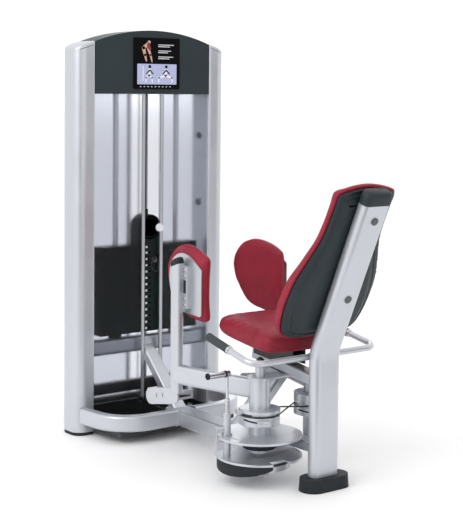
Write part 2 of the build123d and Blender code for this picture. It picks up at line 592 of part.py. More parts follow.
def left_mechanism():
    hub = turned([
        (BORE_RADIUS, 227), (DRUM_RADIUS, 227), (DRUM_RADIUS, 263), (DRUM_GROOVE, 263), (DRUM_GROOVE, 277),
        (DRUM_RADIUS + 2, 277), (DRUM_RADIUS + 2, 288), (HUB_RADIUS, 288), (HUB_RADIUS, 404),
        (BORE_RADIUS, 404)],
        -PIVOT_X, PIVOT_Y)
    save("left_hub", hub)
    disc_top = DISC_BOTTOM + DISC_THICKNESS
    disc = ring(DISC_RADIUS, BORE_RADIUS, DISC_BOTTOM, disc_top, -PIVOT_X, PIVOT_Y)
    collar = ring(HUB_RADIUS, BORE_RADIUS, disc_top, 227, -PIVOT_X, PIVOT_Y)
    for step in range(9):
        angle = math.radians(PLUNGER_ANGLE - 32 + step * 8)
        x = -PIVOT_X + PLUNGER_REACH * math.cos(angle)
        y = PIVOT_Y + PLUNGER_REACH * math.sin(angle)
        disc = disc - rod((x, y, DISC_BOTTOM), (x, y, disc_top), 6.5)
    save("selector_disc", disc + collar)

    groove = CAM_RADIUS - CABLE_RADIUS - 0.3
    cam = turned([
        (BORE_RADIUS, 25), (HUB_RADIUS, 25), (HUB_RADIUS, 62), (CAM_RADIUS + 4, 62), (CAM_RADIUS + 4, 82),
        (groove, 84), (groove, 92), (CAM_RADIUS + 4, 94), (CAM_RADIUS + 4, 104), (BORE_RADIUS, 104)],
        -PIVOT_X, PIVOT_Y)
    for first, last in ((112, 250), (-80, 30)):
        points = [Vector(0, 0)]
        arc = CenterArc((0, 0), DISC_RADIUS - 2, first, last - first)
        edges = [Line(points[0], arc @ 0), arc, Line(arc @ 1, points[0])]
        fan = extrude(Pos(-PIVOT_X, PIVOT_Y, 98) * make_face(edges), 6)
        cam = cam + (fan - rod((-PIVOT_X, PIVOT_Y, 90), (-PIVOT_X, PIVOT_Y, 110), CAM_RADIUS))
    save("drive_cam", cam)

    angle = math.radians(PLUNGER_ANGLE)
    x = -PIVOT_X + PLUNGER_REACH * math.cos(angle)
    y = PIVOT_Y + PLUNGER_REACH * math.sin(angle)
    lower = ring(15, 6.4, 104, DISC_BOTTOM - 0.5, x, y)
    upper = ring(15, 6.4, disc_top + 0.5, 272, x, y) + ring(21, 6.4, disc_top + 0.5, disc_top + 6, x, y)
    outwards = Pos(-PIVOT_X, PIVOT_Y, 0) * Rot(0, 0, PLUNGER_ANGLE)
    strap = outwards * block(DISC_RADIUS + 2, DISC_RADIUS + 9, -9, 9, 110, 215)
    webs = outwards * (
        block(PLUNGER_REACH + 13, DISC_RADIUS + 2, -5, 5, 130, 160)
        + block(PLUNGER_REACH + 13, DISC_RADIUS + 2, -5, 5, 196, 215))
    save("plunger_housing", lower + upper + strap + webs)
    rod_part = rod((x, y, 112), (x, y, 430), 6)
    handle = rod((x + 8, y, 430), (x - 96, y, 430), 12)
    save("plunger_rod", rod_part + handle)


def right_hub():
    hub = turned([
        (BORE_RADIUS, 136), (HUB_RADIUS, 136), (HUB_RADIUS, 230), (DRUM_RADIUS, 230), (DRUM_RADIUS, 263),
        (DRUM_GROOVE, 263), (DRUM_GROOVE, 277), (DRUM_RADIUS, 277), (DRUM_RADIUS, 316), (HUB_RADIUS, 316),
        (HUB_RADIUS, 404), (BORE_RADIUS, 404)], PIVOT_X, PIVOT_Y)
    save("right_hub", hub)


def coupling_cable():
    """Two cables crossed between the drums, so that the arms swing opposite ways."""
    radius = DRUM_GROOVE + CABLE_RADIUS + 0.3
    contact = math.degrees(math.acos(radius / PIVOT_X))
    runs = []
    for sign in (1, -1):
        level = Plane.XY.offset(DRUM_CABLE_Z + sign * 3.2)
        near = level * CenterArc((-PIVOT_X, PIVOT_Y), radius, sign * (contact + 150), -sign * 150)
        far = level * CenterArc((PIVOT_X, PIVOT_Y), radius, 180 + sign * contact, sign * 150)
        runs.append(cable([near, Line(near @ 1, far @ 0), far]))
    save("coupling_cable", *runs)


def arms():
    names = ("arm", "backing_plate", "pad", "footrest")
    for name, piece in zip(names, arm_pieces()):
        save("left_" + name, piece)
        save("right_" + name, mirrored(piece))


frame_plugs = tower()
weight_stack()
pulleys()
frame_plugs += base_frame()
save("frame_plugs", *frame_plugs)
pivot_shafts()
seat()
left_mechanism()
right_hub()
coupling_cable()
arms()
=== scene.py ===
import json
import math

import bmesh
import bpy
from mathutils import Matrix, Vector, noise
from mathutils.bvhtree import BVHTree


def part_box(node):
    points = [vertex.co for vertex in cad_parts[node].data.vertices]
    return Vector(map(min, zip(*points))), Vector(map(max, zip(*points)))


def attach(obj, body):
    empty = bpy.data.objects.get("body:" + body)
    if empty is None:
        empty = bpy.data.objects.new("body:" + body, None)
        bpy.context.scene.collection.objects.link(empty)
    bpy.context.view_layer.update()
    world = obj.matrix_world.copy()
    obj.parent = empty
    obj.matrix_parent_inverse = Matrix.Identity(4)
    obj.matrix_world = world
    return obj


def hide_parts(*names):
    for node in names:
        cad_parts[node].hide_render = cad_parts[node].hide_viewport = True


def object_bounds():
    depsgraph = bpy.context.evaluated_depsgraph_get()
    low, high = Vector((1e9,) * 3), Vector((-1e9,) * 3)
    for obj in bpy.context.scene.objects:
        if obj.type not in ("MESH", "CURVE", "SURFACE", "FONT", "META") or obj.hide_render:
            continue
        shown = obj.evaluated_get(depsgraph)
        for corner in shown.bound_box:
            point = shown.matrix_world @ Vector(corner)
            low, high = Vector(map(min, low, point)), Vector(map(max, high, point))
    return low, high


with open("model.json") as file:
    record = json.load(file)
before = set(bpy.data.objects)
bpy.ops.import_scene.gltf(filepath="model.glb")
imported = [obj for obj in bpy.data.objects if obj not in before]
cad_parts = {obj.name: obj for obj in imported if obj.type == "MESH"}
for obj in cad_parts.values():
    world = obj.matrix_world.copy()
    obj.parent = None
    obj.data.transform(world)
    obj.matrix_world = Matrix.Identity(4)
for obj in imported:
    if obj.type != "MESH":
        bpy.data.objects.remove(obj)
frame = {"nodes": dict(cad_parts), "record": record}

# The looks of a seated hip abductor machine, in metres, in the CAD model's own frame.
# Places are given from the rear upright's centre line: x to the user's right, y towards the
# weight tower, z up.
cad_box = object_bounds()
boot_low, boot_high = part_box("upright_boot")
REAR_Y = (boot_low.y + boot_high.y) / 2 + 0.008
SIDES = (("left", -1), ("right", 1))


def spot(x, y, z):
    return Vector((x, REAR_Y + y, z))


# --- Materials ---
def material(name, color, roughness, metallic=0.0, **sockets):
    """Principled material; further sockets are given as Coat_Weight=0.2 and so on."""
    made = bpy.data.materials.new(name)
    made.use_nodes = True
    shader = made.node_tree.nodes["Principled BSDF"]
    shader.inputs["Base Color"].default_value = (*color, 1)
    shader.inputs["Roughness"].default_value = roughness
    shader.inputs["Metallic"].default_value = metallic
    for socket, value in sockets.items():
        shader.inputs[socket.replace("_", " ")].default_value = value
    return made


def pattern(made, scale, detail=3.0, stretch=(1, 1, 1), cells=False):
    """Noise or cell pattern in object space; gives its value socket."""
    nodes, links = made.node_tree.nodes, made.node_tree.links
    place = nodes.new("ShaderNodeTexCoord")
    mapping = nodes.new("ShaderNodeMapping")
    mapping.inputs["Scale"].default_value = stretch
    links.new(place.outputs["Object"], mapping.inputs["Vector"])
    texture = nodes.new("ShaderNodeTexVoronoi" if cells else "ShaderNodeTexNoise")
    texture.inputs["Scale"].default_value = scale
    if not cells:
        texture.inputs["Detail"].default_value = detail
    links.new(mapping.outputs["Vector"], texture.inputs["Vector"])
    return texture.outputs["Distance" if cells else "Fac"]


def add_bump(made, value, height, strength):
    """Add a layer of relief, on top of what the shader's normal already has."""
    nodes, links = made.node_tree.nodes, made.node_tree.links
    bump = nodes.new("ShaderNodeBump")
    bump.inputs["Distance"].default_value = height
    bump.inputs["Strength"].default_value = strength
    links.new(value, bump.inputs["Height"])
    normal = nodes["Principled BSDF"].inputs["Normal"]
    if normal.links:
        links.new(normal.links[0].from_socket, bump.inputs["Normal"])
    links.new(bump.outputs["Normal"], normal)


def soft_edges(made, radius):
    """Round every hard edge a little for the light."""
    nodes, links = made.node_tree.nodes, made.node_tree.links
    bevel = nodes.new("ShaderNodeBevel")
    bevel.samples = 4
    bevel.inputs["Radius"].default_value = radius
    links.new(bevel.outputs["Normal"], nodes["Principled BSDF"].inputs["Normal"])


def tone(made, value, stops):
    """Colour that follows a pattern; stops are (place, linear colour)."""
    nodes, links = made.node_tree.nodes, made.node_tree.links
    ramp = nodes.new("ShaderNodeValToRGB")
    for index, (place, color) in enumerate(stops):
        element = ramp.color_ramp.elements[index] if index < 2 else ramp.color_ramp.elements.new(place)
        element.position = place
        element.color = (*color, 1)
    links.new(value, ramp.inputs["Fac"])
    links.new(ramp.outputs["Color"], nodes["Principled BSDF"].inputs["Base Color"])


def shine(made, value, low, high):
    """Roughness that wanders between two values with a pattern."""
    nodes, links = made.node_tree.nodes, made.node_tree.links
    spread = nodes.new("ShaderNodeMapRange")
    spread.inputs["From Min"].default_value = 0.3
    spread.inputs["From Max"].default_value = 0.7
    spread.inputs["To Min"].default_value = low
    spread.inputs["To Max"].default_value = high
    links.new(value, spread.inputs["Value"])
    links.new(spread.outputs["Result"], nodes["Principled BSDF"].inputs["Roughness"])


def shade_of(color, factor):
    return tuple(channel * factor for channel in color)


def finish(name, color, roughness, metallic=0.0, edge=None, tones=None, gloss=None, relief=(), **sockets):
    """Material with its detail; each pattern is given as dict(scale=...).

    edge is the radius that hard edges get in the light, tones a pattern with (place, brightness) stops,
    gloss a pattern with two roughnesses, and relief a list of (pattern, height, strength).
    """
    made = material(name, color, roughness, metallic, **sockets)
    if edge:
        soft_edges(made, edge)
    if tones:
        grain, *stops = tones
        tone(made, pattern(made, **grain), [(place, shade_of(color, factor)) for place, factor in stops])
    if gloss:
        grain, low, high = gloss
        shine(made, pattern(made, **grain), low, high)
    for grain, height, strength in relief:
        add_bump(made, pattern(made, **grain), height, strength)
    return made


def make_print(name, color):
    """Printed ink with the faint unevenness of a screen print."""
    return finish(
        name, color, 0.4, tones=(dict(scale=260, detail=2), (0.3, 0.93), (0.7, 1.05)),
        gloss=(dict(scale=200), 0.36, 0.46))


BRUSHED = (1, 1, 0.02)
BRAIDED = (1, 1, 3)

SILVER = finish(
    "silver_powder_coat", (0.55, 0.57, 0.61), 0.34, 0.7, edge=0.0015, Coat_Weight=0.25, Coat_Roughness=0.18,
    tones=(dict(scale=2600, detail=1), (0.35, 0.9), (0.62, 1.08)),
    gloss=(dict(scale=7), 0.32, 0.42), relief=[(dict(scale=900), 0.0002, 0.25)])
BLACK_PAINT = finish(
    "black_powder_coat", (0.012, 0.014, 0.015), 0.38, edge=0.001, Coat_Weight=0.2, Coat_Roughness=0.25,
    gloss=(dict(scale=30), 0.34, 0.46), relief=[(dict(scale=1400), 0.0002, 0.35)])
SLATE = finish(
    "slate_moulded_plastic", (0.021, 0.030, 0.034), 0.45, Specular_IOR_Level=0.25,
    tones=(dict(scale=5), (0.3, 0.92), (0.7, 1.08)),
    gloss=(dict(scale=60), 0.4, 0.52), relief=[(dict(scale=1700, cells=True), 0.00025, 0.35)])
PLUG = finish(
    "grey_plug_plastic", (0.075, 0.08, 0.09), 0.5,
    gloss=(dict(scale=90), 0.42, 0.58), relief=[(dict(scale=2000), 0.0001, 0.4)])
IRON = finish(
    "black_painted_iron", (0.006, 0.013, 0.013), 0.5, edge=0.001, Specular_IOR_Level=0.2,
    tones=(dict(scale=18, detail=6), (0.3, 0.75), (0.7, 1.4)),
    gloss=(dict(scale=45, detail=5), 0.42, 0.6), relief=[(dict(scale=420, detail=4), 0.0005, 0.4)])
STEEL = finish(
    "bright_steel", (0.62, 0.63, 0.65), 0.16, 1.0, edge=0.0006,
    gloss=(dict(scale=300, detail=4, stretch=BRUSHED), 0.1, 0.24),
    relief=[(dict(scale=1500, detail=2, stretch=BRUSHED), 0.00004, 0.2)])
CABLE = finish(
    "black_cable_jacket", (0.012, 0.012, 0.013), 0.32, Coat_Weight=0.3,
    gloss=(dict(scale=80), 0.28, 0.4), relief=[(dict(scale=1200, detail=2, stretch=BRAIDED), 0.00015, 0.5)])
RUBBER = finish(
    "dark_rubber", (0.011, 0.015, 0.019), 0.62, Specular_IOR_Level=0.3,
    tones=(dict(scale=35, detail=5), (0.3, 0.85), (0.7, 1.2)),
    gloss=(dict(scale=70), 0.52, 0.72), relief=[(dict(scale=1300, cells=True), 0.0003, 0.45)])
GRIP = finish(
    "grip_rubber", (0.035, 0.042, 0.047), 0.66,
    gloss=(dict(scale=150), 0.58, 0.75), relief=[(dict(scale=1500, cells=True), 0.0004, 0.6)])
PIN_PLASTIC = finish(
    "black_pin_plastic", (0.014, 0.014, 0.016), 0.22, Coat_Weight=0.4,
    gloss=(dict(scale=120), 0.18, 0.3), relief=[(dict(scale=1500), 0.00006, 0.3)])
VINYL = finish(
    "crimson_vinyl", (0.245, 0.010, 0.026), 0.46, Specular_IOR_Level=0.28,
    Sheen_Weight=0.06, Sheen_Roughness=0.4, Sheen_Tint=(1, 0.75, 0.78, 1),
    tones=(dict(scale=11, detail=6), (0.28, 0.84), (0.72, 1.16)),
    gloss=(dict(scale=40, detail=4), 0.42, 0.56),
    relief=[(dict(scale=38), 0.0012, 0.25), (dict(scale=520, cells=True), 0.0005, 0.55),
            (dict(scale=1500, detail=4), 0.0002, 0.3)])
SHIELD = finish(
    "frosted_clear_sheet", (0.74, 0.755, 0.80), 0.3, Transmission_Weight=1.0, IOR=1.2, Specular_IOR_Level=0.1,
    gloss=(dict(scale=400), 0.28, 0.34), relief=[(dict(scale=900), 0.0001, 0.1)])
FILM = finish(
    "black_placard_film", (0.003, 0.003, 0.004), 0.34, Specular_IOR_Level=0.08,
    gloss=(dict(scale=120), 0.3, 0.4), relief=[(dict(scale=1600), 0.00004, 0.2)])
WHITE_PRINT = make_print("white_print", (0.75, 0.76, 0.78))
BLUE_PRINT = make_print("lavender_print", (0.42, 0.45, 0.66))
SKIN_PRINT = make_print("sand_print", (0.55, 0.34, 0.24))
RED_PRINT = make_print("red_print", (0.25, 0.02, 0.03))

FINISHES = {
    "silver_paint": SILVER, "black_paint": BLACK_PAINT, "slate_plastic": SLATE, "placard_film": FILM,
    "clear_plastic": SHIELD, "plug_plastic": PLUG, "black_iron": IRON, "bright_steel": STEEL,
    "rubber": RUBBER, "cable_jacket": CABLE, "pin_plastic": PIN_PLASTIC, "red_vinyl": VINYL,
}
for part in frame["record"]["subparts"]:
    cad_object = frame["nodes"][part["node"]]
    cad_object.data.materials.clear()
    cad_object.data.materials.append(FINISHES[part["material_slot"]])


# --- Shapes ---
def basis(axis):
    """Two unit vectors across an axis, and the axis itself."""
    out = Vector(axis).normalized()
    helper = Vector((0, 0, 1)) if abs(out.z) < 0.9 else Vector((0, 1, 0))
    side = helper.cross(out).normalized()
    return side, out.cross(side), out


def turns(steps):
    return [2 * math.pi * step / steps for step in range(steps)]


def shade(made, angle):
    """Smooth shading, with edges sharper than the angle (degrees) left hard."""
    made.data.polygons.foreach_set("use_smooth", [True] * len(made.data.polygons))
    made.data.set_sharp_from_angle(angle=math.radians(angle))


class Form:
    """A mesh in the making. Each method adds one closed shape."""

    def __init__(self):
        self.points = []
        self.faces = []

    def skin(self, rings, loop=False):
        """Skin over rings of equally many points; a loop joins the last ring to the first."""
        base, count = len(self.points), len(rings[0])
        self.points += [tuple(point) for ring in rings for point in ring]
        spans = len(rings) if loop else len(rings) - 1
        for first in range(spans):
            second = (first + 1) % len(rings)
            for here in range(count):
                after = (here + 1) % count
                self.faces.append((
                    base + first * count + here, base + first * count + after,
                    base + second * count + after, base + second * count + here))
        if not loop:
            last = base + (len(rings) - 1) * count
            self.faces.append(tuple(range(base + count - 1, base - 1, -1)))
            self.faces.append(tuple(range(last, last + count)))
        return self

    def lathe(self, profile, at, axis=(0, 0, 1), steps=28):
        """Turned shape from (radius, distance along the axis) pairs."""
        side, up, out = basis(axis)
        around = [side * math.cos(turn) + up * math.sin(turn) for turn in turns(steps)]
        return self.skin([[at + out * along + radius * way for way in around] for radius, along in profile])

    def hose(self, points, radius, steps=10, loop=False, wobble=0.0):
        """Round bar along points; wobble makes it uneven, like a weld bead."""
        rings = []
        across = None
        total = len(points)
        for index, point in enumerate(points):
            before = points[index - 1] if loop or index else point
            after = points[(index + 1) % total] if loop or index + 1 < total else point
            along = (after - before).normalized()
            if across is None:
                across = basis(along)[0]
            across = (across - along * across.dot(along)).normalized()
            other = along.cross(across)
            size = radius * (1 + wobble * noise.noise(point * 160))
            rings.append([point + size * (across * math.cos(turn) + other * math.sin(turn))
                          for turn in turns(steps)])
        return self.skin(rings, loop)

    def slab(self, first, second, rounding=0.0015, turn=None):
        """Box between two opposite corners, with rounded edges, turned by a matrix if one is given."""
        low = Vector(min(pair) for pair in zip(first, second))
        high = Vector(max(pair) for pair in zip(first, second))
        shape = bmesh.new()
        bmesh.ops.create_cube(shape, size=1)
        size = high - low
        for vertex in shape.verts:
            vertex.co = Vector(a * b for a, b in zip(vertex.co, size)) + (low + high) / 2
        bmesh.ops.bevel(
            shape, geom=shape.edges[:], offset=rounding, segments=3, profile=0.5, affect="EDGES")
        base = len(self.points)
        shape.verts.index_update()
        self.points += [tuple(turn @ vertex.co if turn else vertex.co) for vertex in shape.verts]
        self.faces += [tuple(base + vertex.index for vertex in face.verts) for face in shape.faces]
        shape.free()
        return self

    def bolt(self, at, axis, radius=0.006, socket=True):
        """Cap screw with a socket, or a hexagon nut on its stud, in proportion to the radius, on a washer."""
        foot = 0.0016
        washer = [(radius * 1.5, 0), (radius * 1.55, 0.0004), (radius * 1.55, 0.0014), (radius * 1.5, 0.0018)]
        self.lathe(washer, at, axis, 24)
        if socket:
            head = [(radius, foot), (radius, radius * 0.75), (radius * 0.9, radius * 0.95),
                    (radius * 0.5, radius)]
            well = [(radius * 0.5, radius), (radius * 0.45, radius * 0.4)]
            self.lathe(head + well, at, axis, 18)
        else:
            nut = [(radius, foot), (radius, radius * 0.8), (radius * 0.92, radius * 0.9)]
            self.lathe(nut, at, axis, 6)
            stud = [(radius * 0.5, radius * 0.7), (radius * 0.5, radius * 1.15),
                    (radius * 0.4, radius * 1.25)]
            self.lathe(stud, at, axis, 16)
        return self

    def build(self, name, body, slot, angle=35, finish=None):
        """Turn the form into a piece that rides on a body, in its slot's finish or another."""
        mesh = bpy.data.meshes.new(name)
        mesh.from_pydata(self.points, [], self.faces)
        shape = bmesh.new()
        shape.from_mesh(mesh)
        bmesh.ops.recalc_face_normals(shape, faces=shape.faces)
        shape.to_mesh(mesh)
        shape.free()
        made = bpy.data.objects.new(name, mesh)
        bpy.context.scene.collection.objects.link(made)
        mesh.materials.append(finish or FINISHES[slot])
        shade(made, angle)
        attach(made, body)
        return made


def smooth_line(points, per_span=8, loop=False):
    """Curve through the points (Catmull-Rom)."""
    count = len(points)
    line = []
    for index in range(count if loop else count - 1):
        p0 = points[index - 1] if loop or index else points[0]
        p1, p2 = points[index], points[(index + 1) % count]
        p3 = points[(index + 2) % count] if loop or index + 2 < count else points[-1]
        for step in range(per_span):
            t = step / per_span
            line.append(0.5 * (2 * p1 + (p2 - p0) * t + (2 * p0 - 5 * p1 + 4 * p2 - p3) * t * t
                               + (3 * p1 - p0 - 3 * p2 + p3) * t * t * t))
    return line if loop else line + [points[-1]]


def evenly(points, count):
    """The closed line through the points, cut into equal steps."""
    closed = points + [points[0]]
    lengths = [0.0]
    for first, second in zip(closed, closed[1:]):
        lengths.append(lengths[-1] + (second - first).length)
    result, span = [], 0
    for step in range(count):
        target = lengths[-1] * step / count
        while lengths[span + 1] < target:
            span += 1
        share = (target - lengths[span]) / max(lengths[span + 1] - lengths[span], 1e-9)
        result.append(closed[span].lerp(closed[span + 1], share))
    return result


def relaxed(points, passes):
    """Round the corners of a closed line by averaging neighbours."""
    count = len(points)
    for _ in range(passes):
        points = [(points[i - 1] + 2 * points[i] + points[(i + 1) % count]) / 4 for i in range(count)]
    return points


def inset(outline, distance):
    """The closed, counter-clockwise outline moved inwards."""
    moved = []
    for index, point in enumerate(outline):
        along = (outline[(index + 1) % len(outline)] - outline[index - 1]).normalized()
        moved.append(point + Vector((-along.y, along.x)) * distance)
    return relaxed(moved, int(distance * 300))


def outline_of(points, count=150, passes=2):
    """Even closed outline from (u, v) pairs in millimetres, always counter-clockwise."""
    line = [Vector(pair) / 1000 for pair in points]
    area = sum(a.cross(b) for a, b in zip(line, line[1:] + line[:1]))
    if area < 0:
        line.reverse()
    return relaxed(evenly(line, count), passes)


class Board:
    """A flat frame: an origin, two directions along it and one out of it."""

    def __init__(self, origin, u, v, w):
        self.origin, self.u, self.v, self.w = origin, Vector(u), Vector(v), Vector(w)

    def at(self, u, v, w):
        return self.origin + self.u * u + self.v * v + self.w * w

    def ring(self, outline, w):
        return [self.at(point.x, point.y, w) for point in outline]

    def depth(self, point):
        return (point - self.origin).dot(self.w)


LEAN = math.radians(24)
TILT = math.radians(5)
BACK = Board(
    spot(0, 0, 0.535), (1, 0, 0),
    (0, -math.sin(LEAN), math.cos(LEAN)), (0, math.cos(LEAN), math.sin(LEAN)))
SEAT = Board(
    spot(0, 0.098, 0.520), (1, 0, 0),
    (0, math.cos(TILT), math.sin(TILT)), (0, -math.sin(TILT), math.cos(TILT)))


# --- Cushions ---
VOXEL = 0.006
CLOTH_PRESSURE = 4.0
CLOTH_FRAMES = 20
PIPING_RADIUS = 0.0016
THREAD_RADIUS = 0.0005


def inflate(piece, is_held, limit):
    """Swell a closed form as foam swells its cover: cloth under pressure, held at its mounting face."""
    scene = bpy.context.scene
    remesh = piece.modifiers.new("even", "REMESH")
    remesh.mode = "VOXEL"
    remesh.voxel_size = VOXEL
    bake_modifiers(piece)
    held = piece.vertex_groups.new(name="held")
    held.add([v.index for v in piece.data.vertices if is_held(v.co)], 1.0, "REPLACE")
    start = [vertex.co.copy() for vertex in piece.data.vertices]
    cloth = piece.modifiers.new("cover", "CLOTH")
    cloth.settings.quality = 5
    cloth.settings.mass = 0.3
    cloth.settings.tension_stiffness = 25
    cloth.settings.compression_stiffness = 25
    cloth.settings.bending_stiffness = 2.0
    cloth.settings.use_pressure = True
    cloth.settings.uniform_pressure_force = CLOTH_PRESSURE
    cloth.settings.effector_weights.gravity = 0
    cloth.settings.vertex_group_mass = "held"
    cloth.point_cache.frame_start = 1
    cloth.point_cache.frame_end = CLOTH_FRAMES
    for step in range(1, CLOTH_FRAMES + 1):
        scene.frame_set(step)
    bake_modifiers(piece)
    for vertex, before in zip(piece.data.vertices, start):
        swell = vertex.co - before
        if swell.length > 1e-6:
            reached = limit * (1 - math.exp(-swell.length / limit))
            vertex.co = before + swell.normalized() * reached
    scene.frame_set(1)
    piece.vertex_groups.clear()
    smooth = piece.modifiers.new("even_out", "SMOOTH")
    smooth.factor = 0.5
    smooth.iterations = 4
    bake_modifiers(piece)


def bake_modifiers(piece):
    """Apply every modifier of a piece."""
    graph = bpy.context.evaluated_depsgraph_get()
    mesh = bpy.data.meshes.new_from_object(piece.evaluated_get(graph))
    piece.modifiers.clear()
    piece.data = mesh


def subdivide(piece):
    finer = piece.modifiers.new("finer", "SUBSURF")
    finer.levels = finer.render_levels = 1
    bake_modifiers(piece)
    piece.data.polygons.foreach_set("use_smooth", [True] * len(piece.data.polygons))


def surface_of(piece):
    mesh = piece.data
    corners = [vertex.co for vertex in mesh.vertices]
    return BVHTree.FromPolygons(corners, [tuple(face.vertices) for face in mesh.polygons])


def outline_centre(outline):
    return sum(outline, Vector((0, 0))) / len(outline)


def crease(piece, board, outline, w, width, depth):
    """Draw a sewn channel into the cover, where the seam at height w runs round."""
    centre = outline_centre(outline)
    middle = board.at(centre.x, centre.y, w)
    reach = 3 * width
    for vertex in piece.data.vertices:
        off = abs(board.depth(vertex.co) - w)
        if off < reach:
            inward = (middle - vertex.co).normalized()
            vertex.co += inward * depth * math.exp(-(off / width) ** 2)


def on_cover(piece, board, outline, w):
    """Points on the cover's surface that are nearest to the outline at height w."""
    tree = surface_of(piece)
    return [tree.find_nearest(point)[0] for point in board.ring(outline, w)]


def seam(name, piece, board, outline, w, body):
    """Piping that follows the cover's surface round the seam."""
    line = relaxed(on_cover(piece, board, outline, w), 3)
    Form().hose(line, PIPING_RADIUS, 8, loop=True).build(name, body, "red_vinyl", 60)


def stitches(name, piece, board, outline, w, body, count):
    """Short raised stitches beside a seam."""
    line = evenly(on_cover(piece, board, outline, w), count * 3)
    form = Form()
    for index in range(0, count * 3, 3):
        first, last = line[index], line[index + 2]
        form.hose([first, (first + last) / 2, last], THREAD_RADIUS, 6)
    form.build(name, body, "red_vinyl", 60)


def stuffed(name, board, outline, sections, node, body, is_held, limit, shape=None):
    """Cushion over an outline; sections are (inset, w) pairs in millimetres, mounting face first."""
    rings = [board.ring(inset(outline, step / 1000), w / 1000) for step, w in sections]
    if shape:
        rings = [[shape(point) for point in ring] for ring in rings]
    cushion = Form().skin(rings).build(name, body, "red_vinyl", 60)
    inflate(cushion, is_held, limit)
    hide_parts(node)
    return cushion


def bell(place, middle, width):
    """1 at the middle, and less with the distance from it."""
    return math.exp(-((place - middle) / width) ** 2)


SEAT_LENGTH = 0.430
SEAT_THICKNESS = 0.066
SEAT_SEAM = 0.016


def seat_outline():
    """Seat from above: wide behind, narrower in front, with well rounded front corners."""
    right = [(70, 429), (120, 419), (158, 384), (175, 325), (189, 190), (198, 50), (188, 15), (150, 0)]
    left = [(-u, v) for u, v in reversed(right)]
    return outline_of(left + [(0, SEAT_LENGTH * 1000)] + right + [(0, 0)], 160, 6)


def make_seat():
    outline = seat_outline()
    sections = [(40, 1), (16, 1.5), (5, 8), (0, 20), (0, 38), (5, 51), (16, 60), (34, 64), (60, 66)]

    def crown(point):
        """Raise the top a little behind, where one sits, and lower it in front."""
        along = (point - SEAT.origin).dot(SEAT.v)
        rise = SEAT.depth(point) / SEAT_THICKNESS
        lift = 0.008 * bell(along, 0.06, 0.10) - 0.004 * (along / SEAT_LENGTH) ** 2
        return point + SEAT.w * rise * lift

    cushion = stuffed(
        "seat_upholstery", SEAT, outline, sections, "seat_cushion", "frame",
        lambda point: SEAT.depth(point) < 0.003, 0.010, crown)
    crease(cushion, SEAT, outline, SEAT_SEAM, 0.003, 0.0022)
    subdivide(cushion)
    seam("seat_piping", cushion, SEAT, outline, SEAT_SEAM, "frame")


BACK_THICKNESS = 0.036
LIP_TOP = 0.690
SHELL_REAR = 0.0306


def back_outline():
    """Backrest: broad at the hips, waisted above, with rounded top corners."""
    half = [
        (0, 18), (80, 18), (140, 24), (181, 46), (203, 75), (217, 130), (222, 195), (216, 285), (187, 380),
        (157, 470), (150, 560), (149, 620), (151, 655), (148, 670), (132, 678), (95, 688), (45, 697),
        (0, 700)]
    line = [Vector(point) for point in half + [(-u, v) for u, v in half[-2:0:-1]]]
    return outline_of(smooth_line(line, 6, loop=True), 190, 1)


def lip_depth(up):
    """How far in front of the upright the shell's lip lies: the shell is a wedge, deeper at the hips."""
    return 0.050 + 0.039 * (LIP_TOP - up)


def make_backrest():
    outline = back_outline()
    sections = [(34, 4), (18, 3), (10, 1), (2, -3), (0, 4), (0, 17), (4, 26), (14, 32), (32, 35), (55, 36)]

    def wedge(point):
        """Move a point from its depth over the lip to its place, with a thicker foot and a lumbar swell."""
        up = (point - BACK.origin).dot(BACK.v)
        over = BACK.depth(point)
        swell = 0.005 * (bell(up, 0.19, 0.12) - bell(up, 0.42, 0.12)) * max(0.0, over) / BACK_THICKNESS
        return point + BACK.w * (lip_depth(up) + over * 0.9 * (LIP_TOP - up) + swell)

    def is_held(point):
        """The cover is held on the lip and over the whole mounting face."""
        over = BACK.depth(point) - lip_depth((point - BACK.origin).dot(BACK.v))
        return over < 0 or (over < 0.008 and is_inside(point, outline, 0.02))

    cushion = stuffed(
        "back_upholstery", BACK, outline, sections, "back_pad", "frame", is_held, 0.008, wedge)
    subdivide(cushion)

    # Each step of the shell: inset in mm, share of the way from the upright to the lip, and rise in mm.
    lip = inset(outline, 0.011)
    profile = [(4, 1, 4), (2, 1, 0), (0, 1, -5), (1, 1, -8), (3, 1, -10), (18, 0.60, 0), (22, 0.48, -1.5),
               (25, 0.44, -2), (28, 0.44, 0), (32, 0.38, 0), (52, 0.10, 0), (60, 0, 1)]
    rings = []
    for step, share, rise in profile:
        ring = []
        for point in inset(lip, step / 1000):
            depth = SHELL_REAR + share * (lip_depth(point.y) - SHELL_REAR) + rise / 1000
            ring.append(BACK.at(point.x, point.y, depth))
        rings.append(ring)
    shell = Form().skin(rings).build("moulded_back_shell", "frame", "slate_plastic", 40)
    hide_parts("back_shell")


def is_inside(point, outline, margin):
    """True if a point of the backrest is further than the margin from its outline."""
    place = Vector(((point - BACK.origin).dot(BACK.u), (point - BACK.origin).dot(BACK.v)))
    return min((place - corner).length for corner in outline) > margin


POST_X = 0.250
POST_Y = 0.635
TOE_IN = math.radians(4.2)
PAD_REACH = 0.080
PAD_SEAM = 0.0262
PAD_STITCHING = 0.0205


def thigh_outline():
    """D-shaped thigh pad from the side: straight behind and round in front, from its post's axis."""
    front = [
        (-142, 846), (-130, 860), (-70, 886), (0, 899), (45, 897), (105, 875), (150, 831), (166, 775),
        (148, 708), (103, 649), (54, 611), (-10, 594), (-80, 587), (-128, 589), (-142, 602)]
    curve = smooth_line([Vector(point) for point in front], 6)
    return outline_of(curve, 150, 2)


def thigh_board(sign):
    """Board on the pad's inner face, which is turned in about its post."""
    out = Vector((sign * math.cos(TOE_IN), math.sin(TOE_IN), 0))
    forward = (-sign * math.sin(TOE_IN), math.cos(TOE_IN), 0)
    return Board(spot(sign * POST_X, POST_Y, 0) - out * PAD_REACH, forward, (0, 0, 1), out)


